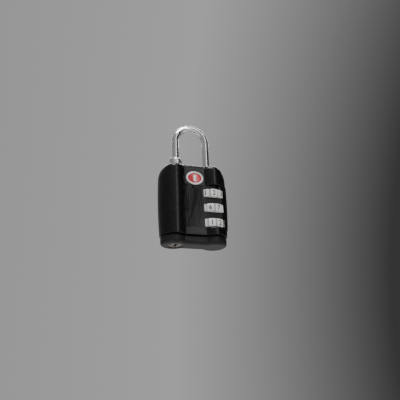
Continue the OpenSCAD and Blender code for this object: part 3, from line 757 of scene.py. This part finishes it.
class PADLOCK_OT_dials(bpy.types.Operator):
    """Moulds the three number dials with engraved, filled digits"""
    bl_idname = "padlock.dials"
    bl_label = "Number dials"

    def execute(self, context):
        dial = context.scene.padlock_dials
        finishes = [finish_of("dial_white_plastic", dial_white),
                    finish_of("digit_black_fill", digit_black),
                    finish_of("dial_groove_grime_and_painted_shade", groove_grey)]
        first_digits = {"top": 2, "middle": 6, "bottom": 1}
        for turn, (row, first) in zip(dial.front_degrees, first_digits.items()):
            self.build(row, first, turn, dial, finishes)
        return {"FINISHED"}

    def build(self, row, first, turn, dial, finishes):
        low, high = box_mm("dial_" + row)
        middle, r = (low + high) / 2, (DIAL_HIGH.y - DIAL_LOW.y) / 2
        edge = dial.rim_round
        rings = [bore_ring(low.z, middle, turn, dial)]
        for i in range(6):
            a = math.pi / 2 * i / 5
            rings.append(dial_ring(r - edge * (1 - math.sin(a)), low.z + edge * (1 - math.cos(a)),
                                   middle, turn, dial))
        for i in range(6):
            a = math.pi / 2 * i / 5
            rings.append(dial_ring(r - edge * (1 - math.cos(a)), high.z - edge * (1 - math.sin(a)),
                                   middle, turn, dial))
        rings.append(bore_ring(high.z, middle, turn, dial))
        ring = loft(rings, closed=True)
        # Groove floors inside this radius get the third finish: painted shade in the grooves, partly grime.
        groove_shade_r = r - dial.groove_depth * 0.55
        for face in ring.faces:
            reach = (face.calc_center_median() - middle).to_2d().length
            if abs(face.normal.z) < 0.3 and dial.keyed_r < reach < groove_shade_r:
                face.material_index = 2
        face_r = r * (1 + math.cos(math.radians(dial.face_half))) / 2
        digits = bmesh.new()
        for step in range(DIGITS):
            cutter = digit_cutter((first + step) % DIGITS, dial.digit_height, dial.digit_width, 1.0)
            bmesh.ops.translate(cutter, vec=(0, dial.digit_depth - face_r - 0.5, 0),
                                verts=cutter.verts)
            spin = Matrix.Rotation(math.radians(turn + 36 * step), 3, "Z")
            bmesh.ops.rotate(cutter, cent=(0, 0, 0), matrix=spin, verts=cutter.verts)
            bmesh.ops.translate(cutter, vec=middle, verts=cutter.verts)
            join_into(digits, cutter)
        for face in digits.faces:
            face.material_index = 1
        ring = combine(ring, digits, "DIFFERENCE", finishes)
        place(ring, row + "_number_dial", row + "_dial", finishes, ["dial_" + row])


class PADLOCK_OT_badge(bpy.types.Operator):
    """Makes the oval badge: a raised rim, an enamel field and a plain keyhole mark"""
    bl_idname = "padlock.badge"
    bl_label = "Badge"

    def execute(self, context):
        badge = context.scene.padlock_badge
        white = finish_of("badge_white_enamel", badge_white)
        red = finish_of("badge_red_enamel", badge_red)
        middle = (BADGE_LOW + BADGE_HIGH) / 2
        r_x, r_z = (BADGE_HIGH.x - BADGE_LOW.x) / 2, (BADGE_HIGH.z - BADGE_LOW.z) / 2
        back, front, edge = BADGE_HIGH.y, BADGE_LOW.y, badge.rim_round
        rings = [oval_ring(r_x - badge.rim, r_z - badge.rim, back, middle),
                 oval_ring(r_x, r_z, back, middle)]
        for i in range(5):
            a = math.pi / 2 * i / 4
            off = edge * (1 - math.cos(a))
            rings.append(oval_ring(r_x - off, r_z - off, front + edge * (1 - math.sin(a)), middle))
        for i in range(5):
            a = math.pi / 2 * i / 4
            off = badge.rim - edge + edge * math.sin(a)
            rings.append(oval_ring(r_x - off, r_z - off, front + edge * (1 - math.cos(a)), middle))
        rim = loft(rings, closed=True)
        place(rim, "badge_rim", "case", [white], ["badge"])

        field_y = front + badge.field_drop
        inner_x, inner_z = r_x - badge.rim, r_z - badge.rim
        field = loft([oval_ring(inner_x, inner_z, back, middle),
                      oval_ring(inner_x, inner_z, field_y + 0.12, middle),
                      oval_ring(inner_x - 0.15, inner_z - 0.15, field_y + 0.05, middle),
                      oval_ring(inner_x - 0.7, inner_z - 0.7, field_y, middle),
                      oval_ring(inner_x * 0.3, inner_z * 0.3, field_y - 0.06, middle)])
        place(field, "badge_field", "case", [red])

        mark = bmesh.new()
        r = badge.keyhole_r
        head = middle.z + badge.keyhole_h / 2 - r
        foot = middle.z - badge.keyhole_h / 2
        start, count = math.radians(-58), 20
        sweep = math.pi - 2 * start
        outline = [(r * math.cos(start + sweep * i / count), head + r * math.sin(start + sweep * i / count))
                   for i in range(count + 1)] + [(-0.85 * r, foot), (0.85 * r, foot)]
        face = mark.faces.new([mark.verts.new((middle.x + x, field_y + 0.1, z)) for x, z in outline])
        raised = bmesh.ops.extrude_face_region(mark, geom=[face])["geom"]
        bmesh.ops.translate(mark, vec=(0, -0.24, 0),
                            verts=[v for v in raised if isinstance(v, bmesh.types.BMVert)])
        bmesh.ops.recalc_face_normals(mark, faces=mark.faces)
        soften(mark, sharp_edges(mark, 50, lambda p: p.y < field_y), 0.06)
        place(mark, "badge_keyhole", "case", [white])
        return {"FINISHED"}


class PADLOCK_OT_key_cylinder(bpy.types.Operator):
    """Finishes the key cylinder's barrel and plug"""
    bl_idname = "padlock.key_cylinder"
    bl_label = "Key cylinder"

    def execute(self, context):
        centre = (BARREL_LOW + BARREL_HIGH) / 2
        nickel = finish_of("cylinder_dull_nickel",
                           lambda: cylinder_nickel((centre.x * MM, centre.y * MM, 0)))
        face_z = BARREL_LOW.z
        for node, name, body in (("cylinder_barrel", "cylinder_face_ring", "case"),
                                 ("key_plug", "keyway_plug", "plug")):
            made = node_mesh(node)
            flatten_faces(made)
            soften(made, sharp_edges(made, 50, lambda p: p.z < face_z + 0.01), 0.12)
            place(made, name, body, [nickel], [node])
        return {"FINISHED"}


class PADLOCK_OT_lock_work(bpy.types.Operator):
    """Gives the hidden pieces of the lock their finishes"""
    bl_idname = "padlock.lock_work"
    bl_label = "Lock work"

    def execute(self, context):
        brass = finish_of("machined_brass", machined_brass)
        steel = finish_of("spring_steel", spring_steel)
        zinc = finish_of("plain_zinc", plain_zinc)
        for node in ("clutch_top", "clutch_middle", "clutch_bottom", "wafers"):
            coat_node(node, brass)
        for node in ("heel_clip", "shackle_spring", "detent_spring", "spindle_spring",
                     "bolt_spring", "plug_clip"):
            coat_node(node, steel)
        for node in ("spindle", "latch_bolt", "cam"):
            coat_node(node, zinc)
        return {"FINISHED"}


class PADLOCK_OT_stage(bpy.types.Operator):
    """Sets the floor, the soft lights and the camera"""
    bl_idname = "padlock.stage"
    bl_label = "Stage"

    def execute(self, context):
        stage = context.scene.padlock_stage
        bm = bmesh.new()
        bmesh.ops.create_grid(bm, x_segments=1, y_segments=1, size=3.0)
        bmesh.ops.translate(bm, vec=(0, 0, stage.floor_z), verts=bm.verts)
        mesh = bpy.data.meshes.new("floor")
        bm.to_mesh(mesh)
        bm.free()
        mesh.materials.append(finish_of("pale_floor", pale_floor))
        floor = bpy.data.objects.new("floor", mesh)
        context.collection.objects.link(floor)

        world = bpy.data.worlds.new("room")
        world.use_nodes = True
        nodes, links = world.node_tree.nodes, world.node_tree.links
        nodes["Background"].inputs["Strength"].default_value = stage.sky / 100
        direction = nodes.new("ShaderNodeSeparateXYZ")
        links.new(nodes.new("ShaderNodeTexCoord").outputs["Generated"], direction.inputs["Vector"])
        side = nodes.new("ShaderNodeMapRange")
        side.inputs["From Min"].default_value = -1
        links.new(direction.outputs["X"], side.inputs["Value"])
        shade = nodes.new("ShaderNodeValToRGB")
        ramp = shade.color_ramp.elements
        for stop, (where, grey) in zip((ramp[0], ramp.new(0.35), ramp.new(0.82), ramp[-1]), ROOM_SHADES):
            stop.position, stop.color = where, (grey, grey, grey, 1)
        links.new(side.outputs["Result"], shade.inputs["Fac"])
        links.new(shade.outputs["Color"], nodes["Background"].inputs["Color"])
        context.scene.world = world

        target = Vector((0, 0, 0.03))
        self.light("key", (-0.04, -0.26, 0.5), target, (0.25, 0.2), 2.6)
        self.light("strip", (0.15, -0.43, 0.2), target, (0.05, 0.35), 0.2)
        self.light("back", (0.15, 0.4, 0.42), target, (0.3, 0.25), 1.6)
        self.camera(context, stage)
        return {"FINISHED"}

    def light(self, name, place_at, target, size, power):
        lamp = bpy.data.lights.new(name, "AREA")
        lamp.shape, lamp.size, lamp.size_y, lamp.energy = "RECTANGLE", *size, power
        holder = bpy.data.objects.new(name, lamp)
        holder.location = place_at
        holder.rotation_euler = (target - Vector(place_at)).to_track_quat("-Z", "Y").to_euler()
        bpy.context.collection.objects.link(holder)

    def camera(self, context, stage):
        a, e = math.radians(stage.azimuth), math.radians(stage.elevation)
        back = Vector((math.sin(a) * math.cos(e), -math.cos(a) * math.cos(e), math.sin(e)))
        lens = bpy.data.cameras.new("camera")
        lens.lens, lens.clip_start, lens.clip_end = stage.lens, 0.01, 10
        holder = bpy.data.objects.new("camera", lens)
        holder.location = Vector(stage.aim) + back * stage.distance
        turn = (-back).to_track_quat("-Z", "Y").to_matrix() @ Matrix.Rotation(
            math.radians(-stage.roll), 3, "Z")
        holder.rotation_euler = turn.to_euler()
        context.collection.objects.link(holder)
        context.scene.camera = holder


PIECES = (PADLOCK_OT_casting, PADLOCK_OT_shackle, PADLOCK_OT_dials, PADLOCK_OT_badge,
          PADLOCK_OT_key_cylinder, PADLOCK_OT_lock_work, PADLOCK_OT_stage)
SETTINGS = {"padlock_body": BodySettings, "padlock_dials": DialSettings,
            "padlock_badge": BadgeSettings, "padlock_stage": StageSettings}


class PADLOCK_PT_panel(bpy.types.Panel):
    """Lists the padlock's pieces and their sizes"""
    bl_idname = "PADLOCK_PT_panel"
    bl_label = "Travel Padlock"
    bl_space_type = "VIEW_3D"
    bl_region_type = "UI"
    bl_category = "Padlock"

    def draw(self, context):
        for piece in PIECES:
            self.layout.operator(piece.bl_idname)
        for attribute, settings in SETTINGS.items():
            column = self.layout.box().column()
            for name in settings.__annotations__:
                column.prop(getattr(context.scene, attribute), name)


def register():
    for item in (*SETTINGS.values(), *PIECES, PADLOCK_PT_panel):
        bpy.utils.register_class(item)
    for attribute, settings in SETTINGS.items():
        setattr(bpy.types.Scene, attribute, PointerProperty(type=settings))


def unregister():
    for attribute in SETTINGS:
        delattr(bpy.types.Scene, attribute)
    for item in reversed((*SETTINGS.values(), *PIECES, PADLOCK_PT_panel)):
        bpy.utils.unregister_class(item)


def main():
    """Builds every piece in order."""
    register()
    for build in (bpy.ops.padlock.casting, bpy.ops.padlock.shackle, bpy.ops.padlock.dials,
                  bpy.ops.padlock.badge, bpy.ops.padlock.key_cylinder, bpy.ops.padlock.lock_work,
                  bpy.ops.padlock.stage):
        build()


if __name__ == "__main__":
    main()
